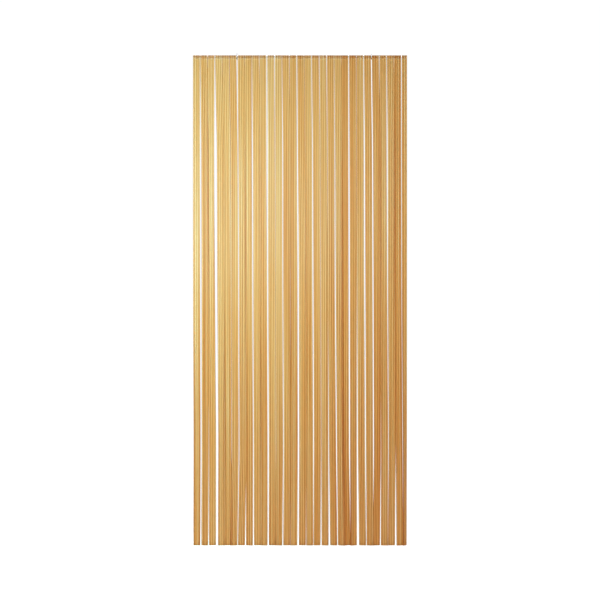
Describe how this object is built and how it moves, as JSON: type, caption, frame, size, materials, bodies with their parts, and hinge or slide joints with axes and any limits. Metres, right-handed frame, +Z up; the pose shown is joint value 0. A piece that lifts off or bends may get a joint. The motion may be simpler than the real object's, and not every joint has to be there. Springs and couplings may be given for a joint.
{
  "type": "pvc strip door curtain with rod and hooks",
  "caption": "Door curtain of narrow translucent ribbed plastic strips that hang side by side from a thin steel rod held on two wall hooks.",
  "frame": {"origin": "on the wall plane behind the rod, at the middle of the curtain's width and at the height of the rod's axis", "axes": "+X to the right seen from the front, +Y into the wall, +Z up"},
  "size_m": [1.0003, 0.0367, 2.2991],
  "materials": {
    "pvc": "translucent honey-coloured PVC with fine lengthwise streaks, semi-gloss",
    "steel": "zinc-plated wire and rod, satin"
  },
  "bodies": {
    "root": {"rod": "steel", "hook_left": "steel", "hook_right": "steel", "strip_01": "pvc", "strip_02": "pvc", "strip_03": "pvc", "strip_04": "pvc", "strip_05": "pvc", "strip_06": "pvc", "strip_07": "pvc", "strip_08": "pvc", "strip_09": "pvc", "strip_10": "pvc", "strip_11": "pvc", "strip_12": "pvc", "strip_13": "pvc", "strip_14": "pvc", "strip_15": "pvc", "strip_16": "pvc", "strip_17": "pvc", "strip_18": "pvc", "strip_19": "pvc", "strip_20": "pvc", "strip_21": "pvc", "strip_22": "pvc", "strip_23": "pvc", "strip_24": "pvc", "strip_25": "pvc", "strip_26": "pvc", "strip_27": "pvc", "strip_28": "pvc", "strip_29": "pvc"}
  },
  "joints": []
}
